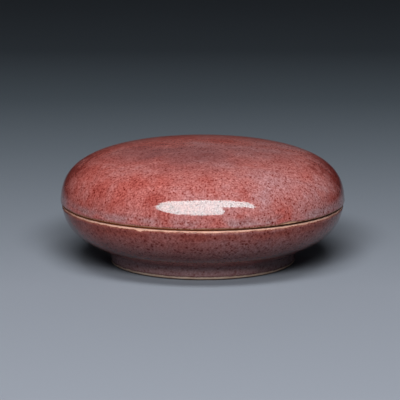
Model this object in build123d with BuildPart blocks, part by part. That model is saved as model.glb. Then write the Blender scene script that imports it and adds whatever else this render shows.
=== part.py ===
from build123d import *
import os

os.makedirs("parts", exist_ok=True)

# A round porcelain box for seal paste: a domed cover on a low box with a foot ring.
# All lengths are in millimetres. The origin is the centre of the foot ring's resting face, +Z is up.

# The closed box: how wide it is, and the seat where the cover and the box meet
cover_diameter = 72.0
rim_overhang = 0.45
seat_height = 15.3

# The cover: a thrown dome with a straight mouth that drops over the box's flange
cover_height = 15.1
crown_wall = 2.6
skirt_height = 0.6
cover_bevel = 0.4
mouth_round = 0.35
mouth_headroom = 0.6
mouth_clearance = 0.35
crown_handle_shares = (0.816, 0.669)
hollow_handle_shares = (0.77, 0.58)

# The flange that stands up inside the seat
seat_width = 2.5
flange_wall = 1.8
flange_height = 2.9
flange_round = 0.7

# The outside of the box, from the seat down to the foot ring
rim_bevel = 0.55
belly_rim_handle_shares = (0.07, 0.65)
belly_foot_handle_shares = (0.40, 0.22)

# The foot ring and the recess that it encloses
foot_diameter = 47.3
foot_height = 3.3
foot_flare = 0.15
foot_wall = 1.9
foot_round = 0.5
crease_fillet = 0.7
recess_depth = 2.2
recess_fillet = 0.8
vault_rise = 0.35

# The bowl inside the box
floor_thickness = 3.2
floor_radius = 20.0
bowl_lip_drop = 1.5
bowl_wall_handle_share = 0.62
bowl_floor_handle_share = 0.34

# The cake of seal paste, heaped on the floor of the bowl
paste_base_inset = 1.6
paste_wall_gap = 3.9
paste_sink = 2.0
paste_waist_share = 0.48
paste_swell_out_share = 0.5
paste_swell_up_share = 0.32
paste_dome_handle_shares = (0.55, 0.72)

# Sizes that follow from the ones above
cover_radius = cover_diameter / 2
rim_radius = cover_radius - rim_overhang
flange_radius = rim_radius - seat_width
bore_radius = flange_radius - flange_wall
flange_top = seat_height + flange_height
crown_top = seat_height + cover_height
mouth_radius = flange_radius + mouth_clearance
mouth_top = flange_top + mouth_headroom
foot_radius = foot_diameter / 2
crease_radius = foot_radius + foot_flare
recess_radius = foot_radius - foot_wall
floor_height = recess_depth + vault_rise + floor_thickness
bowl_lip_height = seat_height - bowl_lip_drop
paste_base_radius = floor_radius - paste_base_inset
paste_radius = bore_radius - paste_wall_gap
paste_top = seat_height - paste_sink
paste_waist_height = floor_height + paste_waist_share * (paste_top - floor_height)


def dome_line(radius, edge_height, crown_height, handle_shares):
    """Half outline of a dome, level at its crown and upright at its edge."""
    reach_share, rise_share = handle_shares
    rise = crown_height - edge_height
    return Bezier(
        (0, crown_height),
        (reach_share * radius, crown_height),
        (radius, edge_height + rise_share * rise),
        (radius, edge_height),
    )


def belly_line():
    """Outline of the box from the foot's crease, swelling out and up to the rim."""
    overhang = rim_radius - crease_radius
    rise = seat_height - foot_height
    foot_out_share, foot_up_share = belly_foot_handle_shares
    rim_in_share, rim_down_share = belly_rim_handle_shares
    return Bezier(
        (crease_radius, foot_height),
        (crease_radius + foot_out_share * overhang, foot_height + foot_up_share * rise),
        (rim_radius - rim_in_share * overhang, seat_height - rim_down_share * rise),
        (rim_radius, seat_height),
    )


def swell_line():
    """Side of the paste, from its base on the floor out to its widest."""
    reach = paste_radius - paste_base_radius
    rise = paste_waist_height - floor_height
    return Bezier(
        (paste_base_radius, floor_height),
        (paste_base_radius + paste_swell_out_share * reach, floor_height + paste_swell_up_share * rise),
        (paste_radius, paste_waist_height - paste_swell_out_share * rise),
        (paste_radius, paste_waist_height),
    )


def bowl_line():
    """Outline of the bowl's inside, from the bore under the flange round to the flat floor."""
    reach = bore_radius - floor_radius
    drop = bowl_lip_height - floor_height
    return Bezier(
        (bore_radius, bowl_lip_height),
        (bore_radius, bowl_lip_height - bowl_wall_handle_share * drop),
        (floor_radius + bowl_floor_handle_share * reach, floor_height),
        (floor_radius, floor_height),
    )


# Box: the turned body, then the flange, the bowl and the foot's recess
with BuildPart() as box:
    with BuildSketch(Plane.XZ):
        with BuildLine():
            belly = belly_line()
            Polyline(belly @ 1, (0, seat_height), (0, 0), (foot_radius, 0), belly @ 0)
        make_face()
    revolve(axis=Axis.Z)

    with BuildSketch(Plane.XY.offset(seat_height)):
        Circle(flange_radius)
    extrude(amount=flange_height)

    with BuildSketch(Plane.XZ):
        with BuildLine():
            bowl = bowl_line()
            Polyline(bowl @ 1, (0, floor_height), (0, flange_top), (bore_radius, flange_top), bowl @ 0)
        make_face()
    revolve(axis=Axis.Z, mode=Mode.SUBTRACT)

    with BuildSketch(Plane.XZ) as recess:
        with BuildLine():
            vault = TangentArc((0, recess_depth + vault_rise), (recess_radius, recess_depth), tangent=(1, 0))
            Polyline(vault @ 1, (recess_radius, 0), (0, 0), vault @ 0)
        make_face()
        fillet(recess.vertices().group_by(Axis.X)[-1].sort_by(Axis.Y)[-1], radius=recess_fillet)
    revolve(axis=Axis.Z, mode=Mode.SUBTRACT)

    # The unglazed edge of the seat is bevelled, and the flange's lip is rounded over
    seat_edges = box.edges().filter_by(GeomType.CIRCLE).filter_by_position(Axis.Z, seat_height, seat_height)
    chamfer(seat_edges.sort_by(SortBy.RADIUS)[-1], length=rim_bevel)
    fillet(box.faces().sort_by(Axis.Z)[-1].edges(), radius=flange_round)

    # The foot ring is pared round on both edges, and runs softly into the belly
    fillet(box.faces().sort_by(Axis.Z)[0].edges(), radius=foot_round)
    crease_edges = box.edges().filter_by(GeomType.CIRCLE).filter_by_position(Axis.Z, foot_height, foot_height)
    fillet(crease_edges, radius=crease_fillet)

# Cover: the turned dome, hollowed, with a mouth that clears the flange
with BuildPart() as cover:
    with BuildSketch(Plane.XZ):
        with BuildLine():
            crown = dome_line(cover_radius, seat_height + skirt_height, crown_top, crown_handle_shares)
            Polyline(crown @ 1, (cover_radius, seat_height), (0, seat_height), crown @ 0)
        make_face()
    revolve(axis=Axis.Z)

    with BuildSketch(Plane.XZ):
        with BuildLine():
            hollow = dome_line(mouth_radius, mouth_top, crown_top - crown_wall, hollow_handle_shares)
            Polyline(hollow @ 1, (mouth_radius, seat_height), (0, seat_height), hollow @ 0)
        make_face()
    revolve(axis=Axis.Z, mode=Mode.SUBTRACT)

    # The unglazed lip: bevelled outside, rounded inside where it slides over the flange
    lip_edges = cover.faces().sort_by(Axis.Z)[0].edges().sort_by(SortBy.RADIUS)
    chamfer(lip_edges[-1], length=cover_bevel)
    lip_edges = cover.faces().sort_by(Axis.Z)[0].edges().sort_by(SortBy.RADIUS)
    fillet(lip_edges[0], radius=mouth_round)

# Seal paste: a soft cake that sits on the bowl's floor and swells to a low dome
with BuildPart() as seal_paste:
    with BuildSketch(Plane.XZ):
        with BuildLine():
            swell = swell_line()
            heap = dome_line(paste_radius, paste_waist_height, paste_top, paste_dome_handle_shares)
            Polyline(heap @ 0, (0, floor_height), swell @ 0)
        make_face()
    revolve(axis=Axis.Z)

box.part.label = "box"
cover.part.label = "cover"
seal_paste.part.label = "seal_paste"

export_step(box.part, "parts/box.step")
export_step(cover.part, "parts/cover.step")
export_step(seal_paste.part, "parts/seal_paste.step")
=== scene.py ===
"""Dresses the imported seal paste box: turned porcelain under a peach-bloom glaze, bare fired edges
and a heaped cake of paste. Laid out as an add-on, and run as a script."""
import math

import bpy
from bpy.props import FloatProperty, FloatVectorProperty, IntProperty, PointerProperty
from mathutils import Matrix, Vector


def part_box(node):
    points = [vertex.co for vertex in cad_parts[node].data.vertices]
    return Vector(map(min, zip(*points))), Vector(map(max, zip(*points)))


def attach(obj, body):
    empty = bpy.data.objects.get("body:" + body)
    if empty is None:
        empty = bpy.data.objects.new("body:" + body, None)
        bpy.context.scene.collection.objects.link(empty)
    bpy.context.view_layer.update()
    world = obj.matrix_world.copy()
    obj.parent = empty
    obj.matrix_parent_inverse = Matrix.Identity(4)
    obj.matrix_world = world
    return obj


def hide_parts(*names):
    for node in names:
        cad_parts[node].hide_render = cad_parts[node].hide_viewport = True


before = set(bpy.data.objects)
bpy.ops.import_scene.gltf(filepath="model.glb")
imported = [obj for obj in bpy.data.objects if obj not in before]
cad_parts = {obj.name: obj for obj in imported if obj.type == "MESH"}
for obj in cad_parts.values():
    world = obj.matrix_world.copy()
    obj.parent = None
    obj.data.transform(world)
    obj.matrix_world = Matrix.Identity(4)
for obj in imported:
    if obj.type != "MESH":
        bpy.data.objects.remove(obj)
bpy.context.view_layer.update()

bl_info = {
    "name": "Seal Paste Box",
    "version": (1, 0, 0),
    "blender": (4, 5, 0),
    "location": "View3D > Sidebar > Seal Paste Box",
    "description": "Turns and glazes a round porcelain box for seal paste around its packed frame",
    "category": "Add Mesh",
}

MM = 0.001
PER_MM = 1000.0

# The shapes of the curves, close to those of the frame's solids
CROWN_SHARES = (0.816, 0.63)
HOLLOW_SHARES = (0.77, 0.58)
PASTE_SHARES = (0.55, 0.72)
BELLY_FOOT_SHARES = (0.40, 0.22)
BELLY_RIM_SHARES = (0.05, 0.65)
BOWL_SHARES = (0.62, 0.34)
PASTE_SIDE_SHARES = (0.5, 0.32)
PASTE_WAIST_SHARE = 0.48

# How outlines are sampled, and where their edges lie
OUTLINE_STEP = 0.05 * MM
CURVE_SLACK = 1.3
EDGE_STEPS = 2
LEAST_LINE_STEPS = 2
LEAST_ROUND_STEPS = 3
FINEST_GAP = 0.13 * MM
COARSEST_GAP = 0.9 * MM
FINE_BAND = 0.8 * MM
GAP_GROWTH_SHARE = 0.16
BARE_LIP = 0.22 * MM
BARE_RIM = 0.18 * MM
BARE_FOOT = 0.85 * MM
BARE_FLANGE = 0.9 * MM
WELD = 0.0001 * MM


# Settings

def length(label, description, millimetres):
    """A size that a user can change, kept in metres."""
    return FloatProperty(
        name=label, description=description, default=millimetres * MM, min=0.0, precision=5, unit="LENGTH"
    )


def colour(label, description, red, green, blue):
    """A linear colour that a user can change."""
    return FloatVectorProperty(
        name=label, description=description, default=(red, green, blue), min=0.0, max=1.0, subtype="COLOR"
    )


class PorcelainSizes(bpy.types.PropertyGroup):
    """Sizes of the turned porcelain that the frame's boxes don't give."""

    crown_wall: length("Crown wall", "Thickness of the cover at its crown", 2.6)
    skirt_height: length("Skirt height", "Upright stretch above the cover's lip", 0.6)
    cover_bevel: length("Cover bevel", "Bevel under the cover's lip", 0.2)
    mouth_round: length("Mouth round", "Rounding of the lip's inner edge", 0.35)
    mouth_headroom: length("Mouth headroom", "Straight mouth above the flange", 0.6)
    mouth_clearance: length("Mouth clearance", "Gap between the flange and the mouth", 0.35)
    seat_width: length("Seat width", "Flat seat outside the flange", 2.5)
    flange_wall: length("Flange wall", "Thickness of the flange", 1.8)
    flange_round: length("Flange round", "Rounding of the flange's lip", 0.7)
    rim_bevel: length("Rim bevel", "Bevel on the bare edge of the seat", 0.3)
    rim_swell: length("Rim swell", "How far the box's glazed rim stands out beyond its solid", 0.42)
    lip_swell: length("Lip swell", "How far the cover's glazed lip stands out beyond its solid", 0.2)
    foot_diameter: length("Foot diameter", "Outer diameter of the foot ring", 47.3)
    foot_height: length("Foot height", "Height of the foot ring", 3.3)
    foot_flare: length("Foot flare", "How far the foot ring widens up to its crease", 0.15)
    foot_wall: length("Foot wall", "Thickness of the foot ring", 1.9)
    foot_round: length("Foot round", "Rounding of the foot ring's inner edge", 0.5)
    foot_wear: length("Foot wear", "Rounding of the foot ring's outer edge", 0.8)
    crease_fillet: length("Crease fillet", "Fillet between the foot ring and the belly", 0.7)
    recess_depth: length("Recess depth", "Depth of the recess in the foot", 2.2)
    recess_fillet: length("Recess fillet", "Fillet in the recess", 0.8)
    vault_rise: length("Vault rise", "How far the recess rises to its middle", 0.35)
    floor_thickness: length("Floor thickness", "Thickness of the bowl's floor", 3.2)
    floor_radius: length("Floor radius", "Radius of the bowl's flat floor", 20.0)
    bowl_lip_drop: length("Bowl lip drop", "Straight bore below the seat", 1.5)
    paste_base_inset: length("Paste base inset", "Bare floor round the paste's base", 1.6)


class GlazeSettings(bpy.types.PropertyGroup):
    """How the glaze lies on the porcelain, and its colours, some of them painted shade."""

    thickness: length("Glaze thickness", "Thickness of the glaze", 0.14)
    ragged: length("Ragged edge", "How far the glaze's edge wanders", 0.2)
    wobble: length("Wobble", "How far the turned form is out of round", 0.05)
    segments: IntProperty(
        name="Segments", description="Steps round a turned piece", default=560, min=64, max=800
    )
    seed: IntProperty(name="Seed", description="Choice of the random unevenness", default=7, min=0)
    deep: colour("Deep red", "Where the copper burned reddest", 0.36, 0.058, 0.045)
    ember: colour("Ember", "Where the copper burned bright red", 0.48, 0.072, 0.052)
    # This colour is painted shade on the sides of the cover and the box, where they turn from the lamps; on
    # the crown it is partly painted shade, partly the glaze's own darker patch
    dark_glaze_and_shade: colour("Smoke", "Where it burned darkest", 0.22, 0.036, 0.030)
    # This colour darkens the crown: partly painted shade where the crown faces up, away from the lamps,
    # partly the glaze's own greyer patch
    mauve_glaze_and_shade: colour("Mauve", "Where it burned dark and greyish", 0.25, 0.10, 0.105)
    # This colour is painted shade on the foot ring's sides, where it turns from the lamps under the belly
    umber: colour("Umber", "Where it burned brown", 0.14, 0.085, 0.085)
    salmon: colour("Salmon", "Main colour of the glaze", 0.47, 0.112, 0.094)
    rose: colour("Rose", "Paler clouds in the glaze", 0.50, 0.165, 0.150)
    lilac: colour("Lilac", "Palest, greyest clouds", 0.48, 0.235, 0.240)
    maroon: colour("Maroon", "Edge of the glaze on the foot", 0.150, 0.026, 0.028)
    clay: colour("Bare clay", "Bare fired porcelain", 0.74, 0.61, 0.47)
    burn: colour("Burnt line", "Brown line where the glaze thins out", 0.20, 0.080, 0.030)
    white: colour("White glaze", "Clear glaze over the white body", 0.76, 0.76, 0.72)
    paste: colour("Seal paste", "Oily vermilion of the paste", 0.62, 0.030, 0.012)


class StageSettings(bpy.types.PropertyGroup):
    """The camera and the studio."""

    camera_distance: length("Camera distance", "From the camera to its target", 900.0)
    camera_elevation: FloatProperty(
        name="Camera elevation",
        description="Height of the view above level",
        default=math.radians(11.4),
        subtype="ANGLE",
    )
    aim_left: length("Aim left", "How far left of the object's axis the camera aims", 0.68)
    aim_height: length("Aim height", "Height of the camera's target", 15.815)
    lens: FloatProperty(name="Lens", description="Focal length in millimetres", default=317.25)
    key_power: FloatProperty(name="Softbox", description="Power of the softboxes in watts", default=13.3)
    glint_strength: FloatProperty(
        name="Glint", description="Brightness of the panel that the glaze mirrors", default=15.0
    )
    floor_near: colour("Floor, near", "Colour of the floor in front", 0.288, 0.313, 0.362)
    floor_far: colour("Floor, far", "Colour of the backdrop far behind", 0.0205, 0.024, 0.029)


SETTINGS = {
    "porcelain_sizes": PorcelainSizes,
    "glaze_settings": GlazeSettings,
    "stage_settings": StageSettings,
}


# Node graphs

class Field:
    """A value that varies over a surface: one node socket, whose arithmetic adds Math nodes."""

    def __init__(self, graph, socket):
        self.graph = graph
        self.socket = socket

    def out(self, name):
        """Another output of the same node."""
        return Field(self.graph, find_socket(self.socket.node.outputs, name))

    def __add__(self, other):
        return self.graph.math("ADD", self, other)

    __radd__ = __add__

    def __sub__(self, other):
        return self.graph.math("SUBTRACT", self, other)

    def __rsub__(self, other):
        return self.graph.math("SUBTRACT", other, self)

    def __mul__(self, other):
        return self.graph.math("MULTIPLY", self, other)

    __rmul__ = __mul__

    def __truediv__(self, other):
        return self.graph.math("DIVIDE", self, other)

    def __pow__(self, other):
        return self.graph.math("POWER", self, other)


def find_socket(sockets, key):
    """A socket by its place, its identifier or its name."""
    if isinstance(key, int):
        return sockets[key]
    for socket in sockets:
        if socket.identifier == key:
            return socket
    for socket in sockets:
        if socket.name == key and socket.enabled:
            return socket
    raise KeyError(f"no socket named {key}")


class Graph:
    """Adds nodes to one node tree."""

    def __init__(self, tree):
        self.tree = tree

    def node(self, kind, settings=None, sockets=None, output=0):
        """A node of any type: its settings are set first, then its sockets. Gives one of its outputs."""
        node = self.tree.nodes.new(kind)
        for name, value in (settings or {}).items():
            if name == "stops":
                self.set_stops(node.color_ramp, value)
            else:
                setattr(node, name, value)
        for key, value in (sockets or {}).items():
            socket = find_socket(node.inputs, key)
            if isinstance(value, Field):
                self.tree.links.new(value.socket, socket)
            else:
                socket.default_value = value
        return Field(self, find_socket(node.outputs, output)) if len(node.outputs) else node

    def math(self, operation, *terms):
        return self.node("ShaderNodeMath", {"operation": operation}, dict(enumerate(terms)))

    @staticmethod
    def set_stops(ramp, stops):
        while len(ramp.elements) < len(stops):
            ramp.elements.new(1.0)
        for element, (position, stop_colour) in zip(ramp.elements, stops):
            element.position = position
            element.color = opaque(stop_colour)

    def step(self, value, low, high):
        """Smooth rise from 0 at low to 1 at high, or a fall where low is the larger."""
        return self.node(
            "ShaderNodeMapRange",
            {"interpolation_type": "SMOOTHSTEP"},
            {"Value": value, "From Min": low, "From Max": high},
        )

    def noise(self, place, scale, detail=2.0, roughness=0.5, distortion=0.0):
        """Soft noise from 0 to 1, whose lumps are about one over scale wide."""
        return self.node("ShaderNodeTexNoise", None, {
            "Vector": place,
            "Scale": scale,
            "Detail": detail,
            "Roughness": roughness,
            "Distortion": distortion,
        })

    def sway(self, place, scale, swing, **kind):
        """Soft noise evenly about 0, with the given swing from its lowest to its highest."""
        return (self.noise(place, scale, **kind) - 0.5) * swing

    def mix(self, share, first, second):
        """Blend of two colours."""
        return self.node(
            "ShaderNodeMix",
            {"data_type": "RGBA"},
            {"Factor_Float": share, "A_Color": first, "B_Color": second},
            "Result_Color",
        )

    def shade(self, base, brightness):
        """A colour made brighter or darker by a number."""
        return self.node(
            "ShaderNodeVectorMath", {"operation": "SCALE"}, {"Vector": base, "Scale": brightness}
        )

    def tint(self, base, tone, shares, level):
        """A colour brightened by a tone, each of its parts by its own share, round a general level."""
        gains = tuple(share * level for share in shares)
        factors = self.vector_math("MULTIPLY_ADD", self.vector(tone, tone, tone), gains, (level,) * 3)
        return self.stretch(base, self.vector_math("MAXIMUM", factors, (DARKEST_FACTOR,) * 3))

    def vector_math(self, operation, *terms, output=0):
        return self.node("ShaderNodeVectorMath", {"operation": operation}, dict(enumerate(terms)), output)

    def move(self, place, offset):
        return self.vector_math("ADD", place, offset)

    def stretch(self, place, factors):
        return self.vector_math("MULTIPLY", place, factors)

    def distance(self, place, point):
        return self.vector_math("DISTANCE", place, point, output="Value")

    def vector(self, x, y, z):
        return self.node("ShaderNodeCombineXYZ", None, {"X": x, "Y": y, "Z": z})

    def split(self, vector):
        parts = self.node("ShaderNodeSeparateXYZ", None, {"Vector": vector}, "X")
        return parts, parts.out("Y"), parts.out("Z")


def opaque(rgb):
    return (rgb[0], rgb[1], rgb[2], 1.0)


# Outlines

class Outline:
    """Half section of a turned piece in metres, drawn from the axis out and back to the axis."""

    def __init__(self, radius, height):
        self.points = [Vector((radius, height))]

    def line(self, radius, height, soften=0.0):
        """A straight stretch. The corner before it is rounded over the length of soften."""
        self.join(straight(self.points[-1], Vector((radius, height))), soften)

    def curve(self, first_handle, second_handle, end, soften=0.0):
        """A cubic curve, its corner rounded in the same way."""
        start, a, b, end = self.points[-1], Vector(first_handle), Vector(second_handle), Vector(end)
        count = int((end - start).length * CURVE_SLACK / OUTLINE_STEP)
        stretch = []
        for index in range(1, count + 1):
            t = index / count
            u = 1 - t
            stretch.append(start * u ** 3 + a * 3 * u * u * t + b * 3 * u * t * t + end * t ** 3)
        self.join(stretch, soften)

    def join(self, stretch, soften):
        corner = self.points[-1]
        if soften > 0:
            self.points = [p for p in self.points if (p - corner).length >= soften]
            stretch = [p for p in stretch if (p - corner).length >= soften]
            start, end = self.points[-1], stretch[0]
            count = max(LEAST_ROUND_STEPS, int((end - start).length / OUTLINE_STEP))
            for index in range(1, count):
                t = index / count
                self.points.append(start * (1 - t) ** 2 + corner * 2 * t * (1 - t) + end * t * t)
        self.points.extend(stretch)

    def bevel(self, radius, height, size):
        """Cuts a corner that is already drawn back to a straight bevel."""
        corner = Vector((radius, height))
        near = [index for index, p in enumerate(self.points) if (p - corner).length < size]
        first, last = near[0] - 1, near[-1] + 1
        self.points[first + 1:last + 1] = straight(self.points[first], self.points[last])

    def fired(self):
        """The outline with its edges worn round, as firing leaves them, and the length up to each point."""
        count = len(self.points)
        softened = []
        for index in range(count):
            reach = min(EDGE_STEPS, index, count - 1 - index)
            around = self.points[index - reach:index + reach + 1]
            softened.append(sum(around, Vector((0.0, 0.0))) / len(around))
        lengths = [0.0]
        for before, after in zip(softened, softened[1:]):
            lengths.append(lengths[-1] + (after - before).length)
        return softened, lengths


def straight(start, end):
    """Points close together from start, which is left out, to end."""
    count = max(LEAST_LINE_STEPS, int((end - start).length / OUTLINE_STEP))
    return [start.lerp(end, index / count) for index in range(1, count + 1)]


def outline_object(name, outline, zones, coarsest=COARSEST_GAP):
    """The outline as loose points, close together near the glaze's edges. Each carries how deep it lies
    inside each kind of glaze, in millimetres, negative where the clay is bare."""
    points, lengths = outline.fired()
    whole = lengths[-1]

    def length_at(place, otherwise):
        if place is None:
            return otherwise
        aim = Vector(place)
        return min(zip(points, lengths), key=lambda pair: (pair[0] - aim).length)[1]

    spans = {
        kind: [(length_at(first, -whole), length_at(last, 2 * whole)) for first, last in places]
        for kind, places in zones.items()
    }
    edges = [edge for found in spans.values() for span in found for edge in span]

    kept = [0]
    for index, at in enumerate(lengths):
        away = min((abs(at - edge) for edge in edges), default=whole)
        gap = min(coarsest, FINEST_GAP + GAP_GROWTH_SHARE * max(0.0, away - FINE_BAND))
        if at - lengths[kept[-1]] >= gap:
            kept.append(index)
    kept[-1] = len(lengths) - 1

    mesh = bpy.data.meshes.new(name)
    mesh.from_pydata([(points[index].x, 0.0, points[index].y) for index in kept], [], [])
    for kind, found in spans.items():
        depths = [max(min(lengths[i] - first, last - lengths[i]) for first, last in found) for i in kept]
        layer = mesh.attributes.new(kind + "_depth", "FLOAT", "POINT")
        layer.data.foreach_set("value", [depth * PER_MM for depth in depths])
    obj = bpy.data.objects.new(name, mesh)
    bpy.context.scene.collection.objects.link(obj)
    return obj


def cover_outline(sizes, glaze):
    """The cover's body, from its crown round the lip into the hollow, and where its glazes lie.
    Outside it is smaller than the solid by the glaze that it will carry."""
    low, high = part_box("cover")
    seat, crown = low.z, high.z
    box_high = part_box("box")[1]
    body = high.x + sizes.lip_swell - glaze
    mouth = box_high.x - sizes.seat_width + sizes.mouth_clearance
    mouth_top = box_high.z + sizes.mouth_headroom
    skirt = seat + sizes.skirt_height
    hollow = crown - sizes.crown_wall

    outline = Outline(0.0, crown - glaze)
    outline.curve(
        (CROWN_SHARES[0] * body, crown - glaze),
        (body, skirt + CROWN_SHARES[1] * (crown - skirt)),
        (body, skirt),
    )
    outline.line(body, seat)
    outline.line(mouth, seat)
    outline.line(mouth, mouth_top, soften=sizes.mouth_round)
    outline.curve(
        (mouth, mouth_top + HOLLOW_SHARES[1] * (hollow - mouth_top)),
        (HOLLOW_SHARES[0] * mouth, hollow),
        (0.0, hollow),
    )
    outline.bevel(body, seat, sizes.cover_bevel)
    zones = {
        "pink": [(None, (body, seat + sizes.cover_bevel + BARE_LIP))],
        "white": [((mouth, mouth_top), None)],
    }
    return outline, zones


def box_outline(sizes, glaze):
    """The box's body, from the bowl over the flange and the seat down to the foot and into its recess."""
    box_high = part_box("box")[1]
    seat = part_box("cover")[0].z
    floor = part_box("seal_paste")[0].z
    flange_top = box_high.z
    flange = box_high.x - sizes.seat_width
    bore = flange - sizes.flange_wall
    bowl_lip = seat - sizes.bowl_lip_drop
    body = box_high.x + sizes.rim_swell - glaze
    foot = sizes.foot_diameter / 2 - glaze
    crease = foot + sizes.foot_flare
    recess = foot + glaze - sizes.foot_wall
    overhang = body - crease
    rise = seat - sizes.foot_height
    vault = sizes.recess_depth + sizes.vault_rise

    outline = Outline(0.0, floor)
    outline.line(sizes.floor_radius, floor)
    outline.curve(
        (sizes.floor_radius + BOWL_SHARES[1] * (bore - sizes.floor_radius), floor),
        (bore, bowl_lip - BOWL_SHARES[0] * (bowl_lip - floor)),
        (bore, bowl_lip),
    )
    outline.line(bore, flange_top)
    outline.line(flange, flange_top, soften=sizes.flange_round)
    outline.line(flange, seat, soften=sizes.flange_round)
    outline.line(body, seat)
    outline.curve(
        (body - BELLY_RIM_SHARES[0] * overhang, seat - BELLY_RIM_SHARES[1] * rise),
        (crease + BELLY_FOOT_SHARES[0] * overhang, sizes.foot_height + BELLY_FOOT_SHARES[1] * rise),
        (crease, sizes.foot_height),
    )
    outline.line(foot, 0.0, soften=sizes.crease_fillet)
    outline.line(recess, 0.0, soften=sizes.foot_wear)
    outline.line(recess, sizes.recess_depth, soften=sizes.foot_round)
    outline.curve((recess / 2, vault), (recess / 2, vault), (0.0, vault), soften=sizes.recess_fillet)
    outline.bevel(body, seat, sizes.rim_bevel)
    zones = {
        "pink": [((body, seat - sizes.rim_bevel - BARE_RIM), (foot, BARE_FOOT))],
        "white": [(None, (bore, flange_top - BARE_FLANGE)), ((recess, BARE_FOOT), None)],
    }
    return outline, zones


def paste_outline(sizes):
    """The cake of paste, from its crown down its side and under it."""
    low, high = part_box("seal_paste")
    base = sizes.floor_radius - sizes.paste_base_inset
    waist = low.z + PASTE_WAIST_SHARE * (high.z - low.z)
    reach = high.x - base

    outline = Outline(0.0, high.z)
    outline.curve(
        (PASTE_SHARES[0] * high.x, high.z),
        (high.x, waist + PASTE_SHARES[1] * (high.z - waist)),
        (high.x, waist),
    )
    outline.curve(
        (high.x, waist - PASTE_SIDE_SHARES[0] * (waist - low.z)),
        (base + PASTE_SIDE_SHARES[0] * reach, low.z + PASTE_SIDE_SHARES[1] * (waist - low.z)),
        (base, low.z),
    )
    outline.line(0.0, low.z)
    return outline


# Geometry Nodes

def geometry_tree(name, inputs):
    """An empty tree with named inputs. Gives its graph and the inputs as fields."""
    tree = bpy.data.node_groups.new(name, "GeometryNodeTree")
    tree.interface.new_socket("Geometry", in_out="OUTPUT", socket_type="NodeSocketGeometry")
    tree.interface.new_socket("Geometry", in_out="INPUT", socket_type="NodeSocketGeometry")
    for label, kind in inputs.items():
        tree.interface.new_socket(label, in_out="INPUT", socket_type="NodeSocket" + kind)
    graph = Graph(tree)
    entry = graph.node("NodeGroupInput")
    return graph, {label: entry.out(label) for label in ("Geometry", *inputs)}


def close_tree(graph, geometry, material):
    """Ends a tree: smooth faces, real geometry and the material."""
    smooth = graph.node("GeometryNodeSetShadeSmooth", None, {"Geometry": geometry})
    real = graph.node("GeometryNodeRealizeInstances", None, {"Geometry": smooth})
    dressed = graph.node("GeometryNodeSetMaterial", None, {"Geometry": real, "Material": material})
    end = graph.tree.nodes.new("NodeGroupOutput")
    graph.tree.links.new(dressed.socket, end.inputs["Geometry"])


def stored(graph, geometry, name, value):
    """The geometry with a number kept on each of its points."""
    return graph.node(
        "GeometryNodeStoreNamedAttribute",
        {"data_type": "FLOAT", "domain": "POINT"},
        {"Geometry": geometry, "Name": name, "Value": value},
    )


def named(graph, name):
    """A number that the points carry."""
    return graph.node(
        "GeometryNodeInputNamedAttribute", {"data_type": "FLOAT"}, {"Name": name}, "Attribute"
    )


def pushed(graph, skin, offset):
    """The skin with its points moved by an offset."""
    return graph.node("GeometryNodeSetPosition", None, {"Geometry": skin, "Offset": offset})


def turned(graph, outline, segments, kinds):
    """Turns the outline's points round the upright axis into a closed skin, with what they carry."""
    rows = graph.node(
        "GeometryNodeAttributeDomainSize", {"component": "MESH"}, {"Geometry": outline}, "Point Count"
    )
    grid = graph.node(
        "GeometryNodeMeshGrid", None, {"Vertices X": segments + 1, "Vertices Y": rows}, "Mesh"
    )
    index = graph.node("GeometryNodeInputIndex")
    column = graph.math("FLOOR", (index + 0.5) / rows)
    row = index - column * rows
    angle = column / segments * -math.tau

    def sampled(value, kind):
        return graph.node(
            "GeometryNodeSampleIndex",
            {"data_type": kind, "domain": "POINT"},
            {"Geometry": outline, "Value": value, "Index": row},
            "Value",
        )

    radius, _, height = graph.split(sampled(graph.node("GeometryNodeInputPosition"), "FLOAT_VECTOR"))
    place = graph.vector(radius * graph.math("COSINE", angle), radius * graph.math("SINE", angle), height)
    depths = {kind: sampled(named(graph, kind + "_depth"), "FLOAT") for kind in kinds}
    skin = graph.node("GeometryNodeSetPosition", None, {"Geometry": grid, "Position": place})
    for kind, depth in depths.items():
        skin = stored(graph, skin, kind + "_depth", depth)
    return graph.node("GeometryNodeMergeByDistance", None, {"Geometry": skin, "Distance": WELD})


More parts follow.
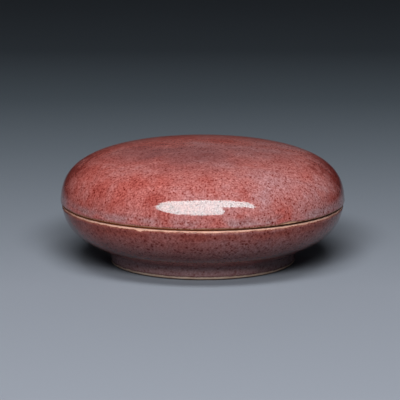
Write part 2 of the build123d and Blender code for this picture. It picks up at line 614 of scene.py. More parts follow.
def turn_and_glaze_tree():
    """Turns a body and lays glaze on it, thick inside its ragged edges and none on the bare clay."""
    graph, given = geometry_tree("Turn and glaze", {
        "Segments": "Int",
        "Glaze": "Float",
        "Ragged": "Float",
        "Wobble": "Float",
        "Seed": "Int",
        "Thin spot": "Vector",
        "Thin spot radius": "Float",
        "Thin spot depth": "Float",
        "Material": "Material",
    })
    skin = turned(graph, given["Geometry"], given["Segments"], ("pink", "white"))

    # The edges of the glaze wander
    position = graph.node("GeometryNodeInputPosition")
    place = graph.shade(position, PER_MM)
    strewn = graph.move(place, graph.shade(SEED_STEP, given["Seed"]))
    wander = graph.sway(strewn, *EDGE_WANDER) + graph.sway(strewn, *EDGE_FRAY, detail=1)
    spot = graph.step(graph.distance(position, given["Thin spot"]), given["Thin spot radius"], 0.0)
    ragged = (wander * given["Ragged"] - spot * given["Thin spot depth"]) * PER_MM
    pink = named(graph, "pink_depth") + ragged
    white = named(graph, "white_depth") + ragged
    skin = stored(graph, stored(graph, skin, "pink_depth", pink), "white_depth", white)

    # Its skin lies on the body and rolls up at the edges
    pink = named(graph, "pink_depth")
    white = named(graph, "white_depth")
    laid = graph.step(pink, *LAID_DEPTHS) + graph.step(white, *LAID_DEPTHS)
    roll = graph.step(pink, *ROLL_RISE) * graph.step(pink, *ROLL_FALL) * ROLL_SHARE
    rings = graph.sway(graph.stretch(strewn, RING_STRETCH), *RINGS, detail=1)
    uneven = graph.step(pink, *UNEVEN_DEPTHS) * (graph.sway(strewn, *UNEVEN) + rings)
    normal = graph.node("GeometryNodeInputNormal", None, None, "Normal")
    skin = pushed(graph, skin, graph.shade(normal, given["Glaze"] * (laid + roll + uneven)))

    # The whole piece is a little out of round
    swing = graph.noise(place, OUT_OF_ROUND_SCALE, detail=0).out("Color")
    swing = graph.stretch(graph.move(swing, (-0.5, -0.5, -0.5)), SIDEWAYS)
    close_tree(graph, pushed(graph, skin, graph.shade(swing, given["Wobble"])), given["Material"])
    return graph.tree


def knead_tree():
    """Turns the cake of paste, folds it in a slow spiral as the spatula left it, and strews fibres."""
    graph, given = geometry_tree("Knead", {
        "Segments": "Int",
        "Fold depth": "Float",
        "Fold turns": "Float",
        "Reach": "Float",
        "Lumps": "Float",
        "Fibres": "Float",
        "Fibre length": "Float",
        "Fibre width": "Float",
        "Floor height": "Float",
        "Seed": "Int",
        "Material": "Material",
    })
    skin = turned(graph, given["Geometry"], given["Segments"], ())
    position = graph.node("GeometryNodeInputPosition")
    place = graph.shade(position, PER_MM)
    x, y, height = graph.split(position)
    radius = (x * x + y * y) ** 0.5
    spiral = radius / given["Reach"] * given["Fold turns"] * math.tau
    phase = graph.math("ARCTAN2", y, x) * FOLD_ARMS + spiral + graph.sway(place, *FOLD_WARP)
    fold = (graph.math("SINE", phase) * 0.5 + 0.5) ** FOLD_POWER - 1.0
    across = graph.step(radius, 0.0, FOLD_CORE)
    lumps = (graph.noise(place, LUMP_SCALE, detail=3, roughness=0.6) - LUMP_LEVEL) * 2.0
    above = graph.step(height - given["Floor height"], *PASTE_FOOT)
    drop = (fold * across * given["Fold depth"] + lumps * given["Lumps"]) * above
    normal = graph.node("GeometryNodeInputNormal", None, None, "Normal")
    skin = pushed(graph, skin, graph.shade(normal, drop))
    both = graph.node("GeometryNodeJoinGeometry", None, {"Geometry": skin})
    fibres = strewn_fibres(graph, given, skin, above)
    graph.tree.links.new(fibres.socket, both.socket.node.inputs["Geometry"])
    close_tree(graph, both, given["Material"])
    return graph.tree


def strewn_fibres(graph, given, skin, above):
    """Short bent threads of moxa that lie half sunk in the top of the paste, turned at random."""
    half = given["Fibre length"] * 0.5
    along, aside = FIBRE_BEND_SHARES
    bend = graph.node("GeometryNodeCurveQuadraticBezier", None, {
        "Resolution": FIBRE_STEPS,
        "Start": graph.vector(half * -1.0, 0.0, 0.0),
        "Middle": graph.vector(half * along, half * aside, given["Fibre width"]),
        "End": graph.vector(half, 0.0, 0.0),
    })
    section = graph.node("GeometryNodeCurvePrimitiveCircle", None, {
        "Resolution": FIBRE_SIDES, "Radius": given["Fibre width"] * 0.5
    })
    fibre = graph.node("GeometryNodeCurveToMesh", None, {
        "Curve": bend, "Profile Curve": section, "Fill Caps": True
    })
    spots = graph.node("GeometryNodeDistributePointsOnFaces", None, {
        "Mesh": skin, "Selection": above, "Density": given["Fibres"], "Seed": given["Seed"]
    })

    def chance(lowest, highest, seed):
        return graph.node("FunctionNodeRandomValue", {"data_type": "FLOAT"}, {
            "Min_001": lowest, "Max_001": highest, "Seed": seed
        }, "Value_001")

    turn = chance(0.0, math.tau, given["Seed"])
    size = chance(*FIBRE_SIZE_SHARES, given["Seed"] + 1.0)
    strewn = graph.node("GeometryNodeInstanceOnPoints", None, {
        "Points": spots,
        "Instance": fibre,
        "Rotation": spots.out("Rotation"),
        "Scale": graph.vector(size, size, 1.0),
    })
    strewn = graph.node("GeometryNodeRotateInstances", None, {
        "Instances": strewn, "Rotation": graph.vector(0.0, 0.0, turn), "Local Space": True
    })
    return graph.node("GeometryNodeRealizeInstances", None, {"Geometry": strewn})


def made_plain(obj, tree, values):
    """Runs a tree on an object with the given inputs, and keeps the result as a plain mesh."""
    modifier = obj.modifiers.new(tree.name, "NODES")
    modifier.node_group = tree
    for item in tree.interface.items_tree:
        if item.in_out == "INPUT" and item.name in values:
            modifier[item.identifier] = values[item.name]
    bpy.context.view_layer.update()
    graph = bpy.context.evaluated_depsgraph_get()
    mesh = bpy.data.meshes.new_from_object(
        obj.evaluated_get(graph), preserve_all_data_layers=True, depsgraph=graph
    )
    obj.modifiers.remove(modifier)
    obj.data = mesh
    mesh.name = obj.name
    return obj


# Materials

def new_material(name):
    material = bpy.data.materials.new(name)
    material.use_nodes = True
    material.node_tree.nodes.clear()
    return material, Graph(material.node_tree)


def principled(graph, sockets):
    return graph.node("ShaderNodeBsdfPrincipled", None, sockets, "BSDF")


def matt(graph, sockets):
    """A surface without any gloss."""
    return principled(graph, {"Roughness": MATT_ROUGHNESS, "Specular IOR Level": 0.0, **sockets})


def finish_material(graph, surface):
    """Joins the surface shader to the material's output."""
    graph.node("ShaderNodeOutputMaterial", None, {"Surface": surface})


def bumped(graph, relief):
    """The surface's direction with a relief in millimetres on it."""
    return graph.node("ShaderNodeBump", None, {"Height": relief, "Distance": MM, "Strength": 1.0}, "Normal")


def millimetres(graph):
    """The object's own coordinates, in millimetres."""
    return graph.shade(graph.node("ShaderNodeTexCoord", None, None, "Object"), PER_MM)


def attribute(graph, name):
    return graph.node("ShaderNodeAttribute", {"attribute_name": name}, None, "Fac")


def speckle(graph, place, scale, share, smallest, largest):
    """Round specks strewn at random, one at most in each cell, as a mask."""
    cells = graph.node("ShaderNodeTexVoronoi", None, {"Vector": place, "Scale": scale}, "Distance")
    chance, size, _ = graph.split(cells.out("Color"))
    radius = (size * (largest - smallest) + smallest) * scale
    there = graph.step(chance, share + CHANCE_BAND, share - CHANCE_BAND)
    return graph.step(cells / radius, *SPECK_EDGE_SHARES) * there


def glazed_porcelain(name, look, tuning):
    """Peach-bloom glaze outside, clear glaze over white inside, bare fired clay between them."""
    material, graph = new_material(name)
    own = millimetres(graph)
    place = graph.move(own, tuning["strew"])
    fray = graph.sway(place, *GLAZE_FRAY)
    pink = attribute(graph, "pink_depth") + fray
    white = attribute(graph, "white_depth") + fray
    foot = tuning["foot_height"]
    low = graph.step(graph.split(own)[2], foot + FOOT_FADE, foot - FOOT_FADE)

    bare = clay_colour(graph, own, place, pink, low, look, tuning)
    inside = inside_colour(graph, place, look)
    bloom = bloom_colour(graph, own, place, pink, low, look, tuning)
    skin = graph.mix(graph.step(white, *COVERED_DEPTHS), bare, inside)
    skin = graph.mix(graph.step(pink, *COVERED_DEPTHS), skin, bloom)
    glazed = graph.step(pink, *GLASSY_DEPTHS) + graph.step(white, *GLASSY_DEPTHS)

    peel = graph.noise(place, PEEL_SCALE, roughness=0.55) * PEEL_HEIGHT
    pits = graph.noise(place, GRAIN_SCALE, detail=1) * PIT_HEIGHT
    tooth = graph.noise(place, TOOTH_SCALE, detail=3, roughness=0.7) * TOOTH_HEIGHT
    bump = bumped(graph, (peel + pits) * glazed + tooth * (1.0 - glazed))
    clay = matt(graph, {"Base Color": skin, "Normal": bump})
    glass = principled(graph, {
        "Base Color": skin, "Roughness": GLASS_ROUGHNESS, "IOR": tuning["glass"], "Normal": bump
    })
    surface = graph.node("ShaderNodeMixShader", None, {0: glazed, 1: clay, 2: glass}, "Shader")
    finish_material(graph, surface)
    return material


def bloom_colour(graph, own, place, pink, low, look, tuning):
    """The pink-red glaze with its clouds, burned patches and patches of painted shade, gathered edges, grain
    and specks, and painted shade on the belly.
    """
    x, _, height = graph.split(own)

    # Broad clouds of paler and redder glaze
    clouds = graph.sway(place, CLOUD_SCALE, tuning["clouds"], detail=3, roughness=0.6, distortion=0.4)
    drift = graph.sway(place, DRIFT_SCALE, 1.0, detail=3, roughness=0.6)
    paleness = clouds + drift * tuning["drift"] + x * tuning["side"] + tuning["pale"]
    stops = tuple(zip(BLOOM_SHARES, (look.deep, look.salmon, look.rose, look.lilac)))
    base = graph.node("ShaderNodeValToRGB", {"stops": stops}, {"Fac": paleness}, "Color")
    base = graph.mix(low * tuning["foot_grey"], base, opaque(tuning["foot_colour"]))
    base = burned_and_shaded_patches(graph, own, drift, base, look, tuning["patches"])

    # Where the glaze gathers or thins near its edges
    band = graph.step(pink, *BAND_RISE) * graph.step(pink, *BAND_FALL) * (1.0 - low)
    gathered = graph.step(graph.noise(place, GATHER_SCALE), *GATHER_LEVELS)
    base = graph.mix(band * gathered * tuning["band"], base, opaque(tuning["band_colour"]))
    edge_colour = graph.mix(low, opaque(tuning["edge_colour"]), opaque(look.maroon))
    base = graph.mix(graph.step(pink, *THIN_DEPTHS) * tuning["edge"], base, edge_colour)

    # Fine dark and light grain, which darkens green and blue more than red
    grain = graph.sway(place, GRAIN_SCALE, tuning["grain"], detail=1)
    mottle = graph.sway(place, MOTTLE_SCALE, tuning["mottle"])
    dust = speckle(graph, graph.move(place, DUST_SHIFT), *DUST)
    specks = speckle(graph, place, *tuning["specks"]) + dust * DUST_SHARE
    calm = low * FOOT_CALM_SHARE + graph.step(height, *CROWN_HEIGHTS) * CROWN_CALM_SHARE
    tone = (grain + mottle - specks * tuning["speck_depth"]) * (1.0 - calm)
    base = graph.tint(base, tone, GRAIN_SHARES, tuning["tone"])

    # Painted shade: the belly is darker below, where it turns from the lamps, and the shade fades out by the
    # foot, for painted light bounced from the floor
    shaded = graph.step(height, *tuning["shaded_heights"]) * tuning["shaded"]
    foot = tuning["foot_height"]
    lit = graph.step(height, foot + LIT_RISE, foot - FOOT_FADE)
    return graph.shade(base, 1.0 - shaded * (1.0 - lit))


def burned_and_shaded_patches(graph, own, drift, base, look, patches):
    """Places where the copper burned to another colour, and places of painted shade, each a soft round with a
    wandering edge.
    """
    for tint, place, reach, strength in patches:
        away = graph.distance(own, round_place(*place)) + drift * reach * PATCH_WANDER_SHARE
        there = graph.step(away, reach, reach * PATCH_CORE_SHARE)
        base = graph.mix(there * strength, base, opaque(getattr(look, tint)))
    return base


def clay_colour(graph, own, place, pink, low, look, tuning):
    """The bare clay: painted contact shadow under the foot, dirt and painted shade in the seam's groove,
    burnt along the glaze.
    """
    x, y, height = graph.split(own)
    radius = (x * x + y * y) ** 0.5
    bare = graph.mix(graph.step(pink, *RIM_DEPTHS), opaque(look.clay), opaque(tuning["bare_colour"]))
    bare = graph.mix(low, bare, opaque(FOOT_CLAY))
    # Painted contact shadow along the foot's outer lower edge, where it meets the floor
    worn = low * graph.step(height, *FOOT_CONTACT_SHADE_HEIGHTS) * graph.step(radius, *FOOT_CONTACT_SHADE_RADII)
    bare = graph.mix(worn * FOOT_CONTACT_SHADE_SHARE, bare, opaque(FOOT_CONTACT_SHADE))
    stain = graph.step(graph.noise(place, STAIN_SCALE, detail=3), *STAIN_LEVELS)
    bare = graph.mix(stain * STAIN_SHARE, bare, opaque(look.burn))
    # Dirt and painted shade in the seam's groove, darker towards the right
    groove = graph.step(height, *tuning["groove_heights"]) * graph.step(radius, *GROOVE_RADII)
    dark = graph.mix(graph.step(x, *GROOVE_TURN), opaque(GROOVE_COLOUR), opaque(DARK_GROOVE_COLOUR))
    bare = graph.mix(groove * tuning["groove_depth"], bare, dark)
    return graph.mix(graph.step(pink, *BURNT_DEPTHS) * tuning["line"], bare, opaque(look.burn))


def inside_colour(graph, place, look):
    """Clear glaze over the white body, faintly green where it pooled, with a few pinholes."""
    pooled = graph.step(graph.noise(place, POOL_SCALE), *POOL_LEVELS)
    inside = graph.mix(pooled * POOL_SHARE, opaque(look.white), opaque(POOLED_GLAZE))
    return graph.mix(speckle(graph, place, *PINHOLES) * PINHOLE_SHARE, inside, opaque(PINHOLE_COLOUR))


def seal_paste_material(name, look):
    """Oily vermilion paste: cinnabar bound with castor oil and moxa fibres."""
    material, graph = new_material(name)
    place = millimetres(graph)
    lumps = graph.noise(place, PASTE_SHADE_SCALE, detail=4, roughness=0.6)
    grains = graph.noise(place, GRAIN_SCALE, detail=3, roughness=0.7)
    fibres = graph.noise(place, MATTED_SCALE, distortion=MATTED_TWIST)
    base = graph.mix(graph.step(lumps, *PASTE_SHADE_LEVELS), opaque(DEEP_PASTE), opaque(look.paste))
    base = graph.mix(graph.step(fibres, *MATTED_LEVELS) * MATTED_SHARE, base, opaque(PALE_PASTE))
    base = graph.shade(base, (grains - 0.5) * PASTE_GRAIN + 1.0)
    finish_material(graph, principled(graph, {
        "Base Color": base,
        "Roughness": OILY_ROUGHNESS + graph.step(fibres, *DULL_LEVELS) * DULL_ROUGHNESS,
        "IOR": OIL_IOR,
        "Normal": bumped(graph, grains * PASTE_GRAIN_HEIGHT + fibres * MATTED_HEIGHT),
    }))
    return material


def backdrop_material(name, stage):
    """Pale floor with a painted falloff of light, darker towards the far backdrop, and a soft painted shadow
    behind the object.
    """
    material, graph = new_material(name)
    place = millimetres(graph)
    nearest, farthest = FADE_DEPTHS
    sockets = {"Value": graph.split(place)[1], "From Min": nearest, "From Max": farthest}
    far = graph.node("ShaderNodeMapRange", None, sockets)
    stops = tuple((position, faded_floor(stage, share)) for position, share in FLOOR_FADE_SHARES)
    base = graph.node("ShaderNodeValToRGB", {"stops": stops}, {"Fac": far}, "Color")
    shaded = graph.step(graph.distance(place, SHADE_PLACE), *SHADE_RADII)
    base = graph.mix(shaded * SHADE_SHARE, base, opaque(SHADE_COLOUR))
    finish_material(graph, matt(graph, {"Base Color": base}))
    return material


def faded_floor(stage, share):
    """The floor's colour between near and far, by equal ratios, and a little cooler half way."""
    red, green, blue = (a ** (1 - share) * b ** share for a, b in zip(stage.floor_near, stage.floor_far))
    return red * (1 - FLOOR_COOL_SHARE * math.sin(math.pi * share)), green, blue


# Pieces

def settings(context):
    scene = context.scene
    return scene.porcelain_sizes, scene.glaze_settings, scene.stage_settings


def glaze_piece(name, outline, zones, look, tuning):
    """Turns and glazes one piece of porcelain."""
    obj = outline_object(name, outline, zones)
    values = {
        "Segments": look.segments,
        "Glaze": look.thickness,
        "Ragged": look.ragged,
        "Wobble": look.wobble,
        "Seed": look.seed,
        "Thin spot": Vector(round_place(*tuning["thin_spot"])) * MM,
        "Thin spot radius": tuning["thin_radius"] * MM,
        "Thin spot depth": tuning["thin_depth"] * MM,
        "Material": glazed_porcelain(name + "_porcelain", look, tuning),
    }
    return made_plain(obj, shared_tree("Turn and glaze", turn_and_glaze_tree), values)


def shared_tree(name, build):
    """A tree that several pieces use, built once."""
    return bpy.data.node_groups.get(name) or build()


def round_place(radius, right_degrees, height):
    """A place on a turned piece, by its angle to the right of the front, in the unit it is given in."""
    angle = math.radians(right_degrees)
    return (radius * math.sin(angle), -radius * math.cos(angle), height)


class MakeCover(bpy.types.Operator):
    """Turns and glazes the domed cover"""

    bl_idname = "seal_paste_box.make_cover"
    bl_label = "Make cover"
    bl_options = {"REGISTER", "UNDO"}

    def execute(self, context):
        sizes, look, _ = settings(context)
        outline, zones = cover_outline(sizes, look.thickness)
        piece = glaze_piece("glazed_cover", outline, zones, look, COVER_LOOK)
        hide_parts("cover")
        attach(piece, "cover")
        return {"FINISHED"}


class MakeBox(bpy.types.Operator):
    """Turns and glazes the box with its flange, bowl and foot ring"""

    bl_idname = "seal_paste_box.make_box"
    bl_label = "Make box"
    bl_options = {"REGISTER", "UNDO"}

    def execute(self, context):
        sizes, look, _ = settings(context)
        outline, zones = box_outline(sizes, look.thickness)
        piece = glaze_piece("glazed_box", outline, zones, look, BOX_LOOK)
        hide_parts("box")
        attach(piece, "box")
        return {"FINISHED"}


class MakePaste(bpy.types.Operator):
    """Kneads the cake of seal paste in the bowl"""

    bl_idname = "seal_paste_box.make_paste"
    bl_label = "Make seal paste"
    bl_options = {"REGISTER", "UNDO"}

    def execute(self, context):
        sizes, look, _ = settings(context)
        obj = outline_object("kneaded_paste", paste_outline(sizes), {}, PASTE_GAP)
        values = {
            "Segments": PASTE_SEGMENTS,
            "Fold depth": PASTE_FOLD,
            "Fold turns": PASTE_TURNS,
            "Reach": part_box("seal_paste")[1].x,
            "Lumps": PASTE_LUMPS,
            "Fibres": FIBRES_PER_AREA,
            "Fibre length": FIBRE_LENGTH,
            "Fibre width": FIBRE_WIDTH,
            "Floor height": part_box("seal_paste")[0].z,
            "Seed": look.seed,
            "Material": seal_paste_material("seal_paste_surface", look),
        }
        piece = made_plain(obj, shared_tree("Knead", knead_tree), values)
        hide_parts("seal_paste")
        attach(piece, "box")
        return {"FINISHED"}


class SetStage(bpy.types.Operator):
    """Lays the floor, hangs the lamps and places the camera"""

    bl_idname = "seal_paste_box.set_stage"
    bl_label = "Set stage"
    bl_options = {"REGISTER", "UNDO"}

    def execute(self, context):
        _, _, stage = settings(context)
        lay_floor(stage)
        target = Vector((-stage.aim_left, 0.0, stage.aim_height))
        add_camera(context.scene, target, stage)
        centre = Vector((0.0, 0.0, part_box("cover")[0].z))
        add_softboxes(centre, stage)
        hang_mirrored_panel(centre, stage)
        dress_world(context.scene)
        context.scene.view_settings.view_transform = "Standard"
        return {"FINISHED"}


# Stage

def towards(azimuth, elevation):
    """Direction from the object, with azimuth in degrees to the right of the front."""
    turn, rise = math.radians(azimuth), math.radians(elevation)
    return Vector((math.sin(turn) * math.cos(rise), -math.cos(turn) * math.cos(rise), math.sin(rise)))


def aimed(obj, place, target):
    """Puts an object in its place, looking at the target."""
    obj.location = place
    obj.rotation_euler = (target - place).to_track_quat("-Z", "Y").to_euler()
    bpy.context.scene.collection.objects.link(obj)


def add_camera(scene, target, stage):
    data = bpy.data.cameras.new("camera")
    data.lens = stage.lens
    data.sensor_width = SENSOR_WIDTH
    data.sensor_fit = "HORIZONTAL"
    camera = bpy.data.objects.new("camera", data)
    elevation = math.degrees(stage.camera_elevation)
    aimed(camera, target + towards(0.0, elevation) * stage.camera_distance, target)
    scene.camera = camera


def add_softboxes(centre, stage):
    """The soft lamps: one high overhead, one low in front and a faint one behind."""
    for name, direction, width, height, share in SOFTBOXES:
        data = bpy.data.lights.new(name, "AREA")
        data.shape = "RECTANGLE"
        data.size = width
        data.size_y = height
        data.energy = stage.key_power * share
        softbox = bpy.data.objects.new(name, data)
        softbox.visible_camera = False
        softbox.visible_glossy = False
        aimed(softbox, centre + towards(*direction) * LAMP_DISTANCE, centre)


def hang_mirrored_panel(centre, stage):
    """The bright cloth in front that the glaze mirrors as its highlight. It lights nothing else."""
    middle = towards(*PANEL_MIDDLE)
    corners = []
    for direction in PANEL_OUTLINE:
        ray = towards(*direction)
        corners.append(centre + ray * (LAMP_DISTANCE / ray.dot(middle)))
    mesh = bpy.data.meshes.new("mirrored_panel")
    mesh.from_pydata(corners, [], [tuple(range(len(corners)))])
    material, graph = new_material("mirrored_panel")
    glow = graph.node(
        "ShaderNodeEmission", None, {"Color": opaque(PANEL_COLOUR), "Strength": stage.glint_strength}
    )
    finish_material(graph, glow)
    mesh.materials.append(material)
    panel = bpy.data.objects.new("mirrored_panel", mesh)
    panel.visible_camera = False
    panel.visible_diffuse = False
    panel.visible_shadow = False
    bpy.context.scene.collection.objects.link(panel)


def dress_world(scene):
    world = bpy.data.worlds.new("studio")
    world.use_nodes = True
    world.node_tree.nodes.clear()
    graph = Graph(world.node_tree)
    background = graph.node("ShaderNodeBackground", None, {"Color": opaque(WORLD_COLOUR), "Strength": 1.0})
    graph.node("ShaderNodeOutputWorld", None, {"Surface": background})
    scene.world = world


def lay_floor(stage):
    """A floor that curves up into a backdrop behind the camera's reach."""
    line = [(-FLOOR_NEAR, 0.0), (FLOOR_BEND, 0.0)]
    for index in range(1, FLOOR_STEPS + 1):
        angle = math.pi / 2 * index / FLOOR_STEPS
        line.append((FLOOR_BEND + FLOOR_SWEEP * math.sin(angle), FLOOR_SWEEP * (1 - math.cos(angle))))
    line.append((FLOOR_BEND + FLOOR_SWEEP, FLOOR_TOP))
    vertices = [(x, y, z) for y, z in line for x in (-FLOOR_HALF_WIDTH, FLOOR_HALF_WIDTH)]
    faces = [(2 * i, 2 * i + 1, 2 * i + 3, 2 * i + 2) for i in range(len(line) - 1)]
    mesh = bpy.data.meshes.new("floor")
    mesh.from_pydata(vertices, [], faces)
    mesh.polygons.foreach_set("use_smooth", [True] * len(faces))
    mesh.materials.append(backdrop_material("backdrop", stage))
    floor = bpy.data.objects.new("floor", mesh)
    bpy.context.scene.collection.objects.link(floor)


# Form of the glaze. A noise with two numbers has its lumps to the millimetre, then its swing
SEED_STEP = (17.3, 9.1, 0.0)
EDGE_WANDER = (0.35, 2.4)
EDGE_FRAY = (1.7, 1.2)
UNEVEN = (0.11, 0.5)
RINGS = (1.0, 0.25)
RING_STRETCH = (0.02, 0.02, 0.9)
OUT_OF_ROUND_SCALE = 0.025
SIDEWAYS = (2.0, 2.0, 0.0)

# Depths inside the glaze's edge where something begins and is full, in millimetres
LAID_DEPTHS = (-0.05, 0.35)
ROLL_RISE = (0.0, 0.5)
ROLL_FALL = (1.6, 0.5)
ROLL_SHARE = 0.35
UNEVEN_DEPTHS = (0.3, 1.5)
COVERED_DEPTHS = (-0.04, 0.10)
GLASSY_DEPTHS = (0.10, 0.35)
BAND_RISE = (0.3, 0.9)
BAND_FALL = (3.2, 1.2)
THIN_DEPTHS = (0.45, 0.05)
RIM_DEPTHS = (-2.4, -0.5)
BURNT_DEPTHS = (-0.14, -0.04)

# Colour of the glaze. Specks have cells to the millimetre, the share that is filled, and two radii
GLAZE_FRAY = (2.4, 0.25)
CLOUD_SCALE = 0.07
DRIFT_SCALE = 0.24
BLOOM_SHARES = (0.0, 0.36, 0.62, 1.0)
GATHER_SCALE = 0.13
GATHER_LEVELS = (0.36, 0.56)
PATCH_WANDER_SHARE = 1.6
PATCH_CORE_SHARE = 0.25
GRAIN_SCALE = 2.2
MOTTLE_SCALE = 1.1
CHANCE_BAND = 0.02
SPECK_EDGE_SHARES = (1.25, 0.45)
DUST = (1.9, 0.8, 0.10, 0.20)
DUST_SHIFT = (5.0, 9.0, 2.0)
DUST_SHARE = 0.5
FOOT_CALM_SHARE = 0.35
CROWN_CALM_SHARE = 0.18
CROWN_HEIGHTS = (26.0, 29.5)
FOOT_FADE = 0.7
# How far above the foot the belly's painted shade starts to fade, for painted light bounced from the floor
LIT_RISE = 2.6
DARKEST_FACTOR = 0.02

# A grain of tone 1 brightens red, green and blue by these shares
GRAIN_SHARES = (0.33, 0.52, 0.54)

# Bare clay, white inside and relief
FOOT_CLAY = (0.52, 0.38, 0.30)
# Painted contact shadow along the foot's lower edge: colour, heights, radii and share
FOOT_CONTACT_SHADE = (0.07, 0.05, 0.04)
FOOT_CONTACT_SHADE_HEIGHTS = (0.46, 0.26)
FOOT_CONTACT_SHADE_RADII = (22.9, 23.2)
FOOT_CONTACT_SHADE_SHARE = 0.9
STAIN_SCALE = 0.5
STAIN_LEVELS = (0.4, 0.75)
STAIN_SHARE = 0.3
# Dirt and painted shade in the seam's groove: its radii, where it darkens from left to right, and its two
# colours
GROOVE_RADII = (35.0, 35.5)
GROOVE_TURN = (-10.0, 25.0)
GROOVE_COLOUR = (0.21, 0.05, 0.013)
DARK_GROOVE_COLOUR = (0.055, 0.014, 0.006)
POOL_SCALE = 0.09
POOL_LEVELS = (0.45, 0.7)
POOL_SHARE = 0.25
POOLED_GLAZE = (0.62, 0.68, 0.63)
PINHOLES = (0.6, 0.3, 0.08, 0.16)
PINHOLE_SHARE = 0.6
PINHOLE_COLOUR = (0.18, 0.14, 0.10)
PEEL_SCALE = 0.55
PEEL_HEIGHT = 0.012
PIT_HEIGHT = 0.0016
TOOTH_SCALE = 4.0
TOOTH_HEIGHT = 0.03
MATT_ROUGHNESS = 0.8
GLASS_ROUGHNESS = 0.08

# The paste and its fibres
DEEP_PASTE = (0.36, 0.012, 0.006)
PALE_PASTE = (0.74, 0.085, 0.035)
PASTE_SEGMENTS = 360
PASTE_GAP = 0.45 * MM
PASTE_FOLD = 1.2 * MM
PASTE_TURNS = 1.6
PASTE_LUMPS = 0.45 * MM
PASTE_FOOT = (0.3 * MM, 2.0 * MM)
FOLD_ARMS = 2.0
FOLD_WARP = (0.09, 4.0)
FOLD_POWER = 0.35
FOLD_CORE = 6.0 * MM
LUMP_SCALE = 0.28
LUMP_LEVEL = 0.62
FIBRES_PER_AREA = 240.0 * PER_MM
FIBRE_LENGTH = 2.6 * MM
FIBRE_WIDTH = 0.11 * MM
FIBRE_BEND_SHARES = (0.2, 0.6)
FIBRE_SIZE_SHARES = (0.4, 1.2)
FIBRE_STEPS = 6
FIBRE_SIDES = 4
PASTE_SHADE_SCALE = 0.25
PASTE_SHADE_LEVELS = (0.35, 0.68)
PASTE_GRAIN = 0.5
PASTE_GRAIN_HEIGHT = 0.06
MATTED_SCALE = 1.1
MATTED_TWIST = 3.5
MATTED_LEVELS = (0.56, 0.66)
MATTED_SHARE = 0.5
MATTED_HEIGHT = 0.12
DULL_LEVELS = (0.4, 0.7)
DULL_ROUGHNESS = 0.28
OILY_ROUGHNESS = 0.30
OIL_IOR = 1.48

# The floor, in metres, and how its painted falloff of light darkens it along its depth, in millimetres
WORLD_COLOUR = (0.016, 0.017, 0.020)
SENSOR_WIDTH = 36.0
FLOOR_NEAR = 2.0
FLOOR_BEND = 1.6
FLOOR_SWEEP = 0.5
FLOOR_TOP = 2.0
FLOOR_HALF_WIDTH = 2.0
FLOOR_STEPS = 16
FADE_DEPTHS = (-160.0, 480.0)
FLOOR_FADE_SHARES = (
    (0.0, 0.0), (0.2, 0.02), (0.37, 0.13), (0.49, 0.26),
    (0.63, 0.48), (0.79, 0.78), (0.94, 0.9), (1.0, 0.94),
)
FLOOR_COOL_SHARE = 0.08

# Soft shade on the floor behind the object, in millimetres: where it is, and where it starts and is full
SHADE_PLACE = (0.0, 30.0, 0.0)
SHADE_RADII = (52.0, 32.0)
SHADE_SHARE = 0.5
SHADE_COLOUR = (0.016, 0.017, 0.02)

# Lamps: direction in degrees right of the front and above level, width, height and share of the power
LAMP_DISTANCE = 1.0
SOFTBOXES = (
    ("high_softbox", (-3.0, 65.0), 0.66, 0.3, 0.5),
    ("front_softbox", (-3.0, 33.0), 0.5, 0.25, 0.5),
    ("back_softbox", (180.0, 24.0), 0.5, 0.3, 0.04),
)
PANEL_COLOUR = (0.62, 0.98, 1.0)
PANEL_MIDDLE = (0.0, 35.0)
PANEL_OUTLINE = (
    (-42, 32), (-40, 44), (-34, 50), (-24, 53), (-9, 57), (8, 58), (24, 55), (41, 47), (45, 40), (47, 32),
    (43, 26), (36, 33), (28, 35), (16, 36), (18, 24), (15, 16), (-6, 15), (-22, 16), (-30, 19), (-37, 24),
)

# How each piece is glazed, in millimetres. Places have a radius, degrees right of the front and a height.
# A patch has its colour, place, reach and strength. The cover has no foot, so its foot height lies far below.
COVER_LOOK = {
    "strew": (11.0, 3.0, 5.0),
    "tone": 0.88, "glass": 1.45,
    "foot_height": -20.0, "foot_grey": 0.0, "foot_colour": (0.0, 0.0, 0.0),
    "shaded_heights": (0.0, -1.0), "shaded": 0.0,
    "patches": (
        ("deep", (34.0, -20.0, 22.0), 3.6, 0.55),
        ("deep", (35.0, -15.5, 19.0), 2.6, 0.45),
        ("deep", (32.0, 16.5, 23.0), 3.0, 0.45),
        ("deep", (35.6, 15.0, 17.6), 2.4, 0.55),
        ("ember", (35.8, 34.3, 17.4), 3.8, 0.50),
        # Painted shade on the cover's two sides, where it turns from the lamps
        ("dark_glaze_and_shade", (35.0, 84.0, 23.0), 13.0, 0.95),
        ("dark_glaze_and_shade", (35.0, -84.0, 23.0), 12.0, 0.85),
        ("deep", (35.6, -50.0, 17.0), 8.0, 0.40),
        ("deep", (35.6, 66.0, 17.5), 6.0, 0.45),
        # The next four make the crown darker and greyer: partly painted shade where it faces up, away from
        # the lamps, partly the glaze's own colour
        ("mauve_glaze_and_shade", (13.0, -8.0, 30.0), 17.0, 0.55),
        ("mauve_glaze_and_shade", (17.0, -65.0, 29.4), 12.0, 0.42),
        ("mauve_glaze_and_shade", (17.0, 65.0, 29.4), 12.0, 0.28),
        ("dark_glaze_and_shade", (13.0, 1.0, 30.0), 4.5, 0.30),
        ("lilac", (30.3, 37.5, 25.8), 7.5, 0.35),
    ),
    "thin_spot": (36.0, 36.5, 15.8), "thin_radius": 4.0, "thin_depth": 0.4,
    "clouds": 1.0, "drift": 0.7, "side": 0.0052, "pale": 0.60,
    "mottle": 2.0, "grain": 3.3, "specks": (1.35, 0.85, 0.16, 0.32), "speck_depth": 1.15,
    "band": 0.55, "band_colour": (0.36, 0.24, 0.25),
    "edge": 0.8, "edge_colour": (0.46, 0.24, 0.15),
    "bare_colour": (0.70, 0.40, 0.26), "line": 0.15,
    # Dirt and painted shade in the seam's groove: heights and strength
    "groove_heights": (15.82, 15.68), "groove_depth": 1.0,
}
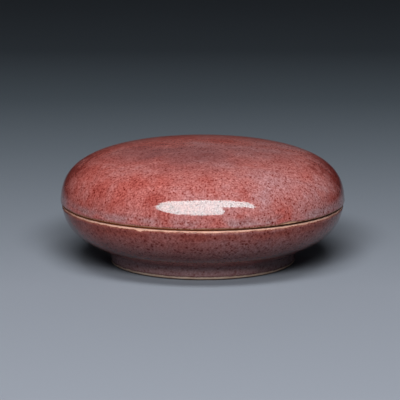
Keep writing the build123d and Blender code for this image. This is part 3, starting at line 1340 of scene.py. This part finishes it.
BOX_LOOK = {
    "strew": (-31.0, 17.0, 2.0),
    "tone": 0.54, "glass": 1.34,
    "foot_height": 3.7, "foot_grey": 0.9, "foot_colour": (0.49, 0.275, 0.28),
    # The belly's painted shade: heights where it starts and is full, and its strength
    "shaded_heights": (13.0, 7.0), "shaded": 0.34,
    "patches": (
        # Painted shade on the box's two sides, where it turns from the lamps
        ("dark_glaze_and_shade", (34.0, 84.0, 11.0), 10.0, 0.25),
        ("dark_glaze_and_shade", (34.0, -84.0, 11.0), 15.0, 0.75),
        # Painted shade on the two sides of the foot ring
        ("umber", (24.0, 58.0, 1.5), 14.0, 0.60),
        ("umber", (24.0, -84.0, 1.5), 9.0, 0.55),
        ("deep", (34.0, 25.0, 13.0), 5.0, 0.25),
    ),
    "thin_spot": (35.55, -26.0, 14.6), "thin_radius": 1.4, "thin_depth": 0.5,
    "clouds": 1.0, "drift": 0.5, "side": 0.004, "pale": 0.64,
    "mottle": 1.4, "grain": 2.8, "specks": (1.0, 0.95, 0.22, 0.50), "speck_depth": 1.15,
    "band": 0.7, "band_colour": (0.42, 0.075, 0.05),
    "edge": 0.6, "edge_colour": (0.66, 0.24, 0.15),
    "bare_colour": (1.0, 0.58, 0.44), "line": 0.05,
    # Dirt and painted shade in the seam's groove: heights and strength
    "groove_heights": (15.23, 15.31), "groove_depth": 0.85,
}


# Add-on

class StudioPanel(bpy.types.Panel):
    """Lists the sizes, the colours and the steps that build the box"""

    bl_idname = "VIEW3D_PT_seal_paste_box"
    bl_label = "Seal Paste Box"
    bl_space_type = "VIEW_3D"
    bl_region_type = "UI"
    bl_category = "Seal Paste Box"

    def draw(self, context):
        layout = self.layout
        for operator in OPERATORS:
            layout.operator(operator.bl_idname)
        for name, group in SETTINGS.items():
            column = layout.box().column()
            for prop in group.__annotations__:
                column.prop(getattr(context.scene, name), prop)


OPERATORS = (MakeBox, MakeCover, MakePaste, SetStage)


def register():
    for group in SETTINGS.values():
        bpy.utils.register_class(group)
    for name, group in SETTINGS.items():
        setattr(bpy.types.Scene, name, PointerProperty(type=group))
    for operator in OPERATORS:
        bpy.utils.register_class(operator)
    bpy.utils.register_class(StudioPanel)


def unregister():
    bpy.utils.unregister_class(StudioPanel)
    for operator in reversed(OPERATORS):
        bpy.utils.unregister_class(operator)
    for name, group in SETTINGS.items():
        delattr(bpy.types.Scene, name)
        bpy.utils.unregister_class(group)


def main():
    register()
    bpy.ops.seal_paste_box.make_box()
    bpy.ops.seal_paste_box.make_cover()
    bpy.ops.seal_paste_box.make_paste()
    bpy.ops.seal_paste_box.set_stage()


if __name__ == "__main__":
    main()
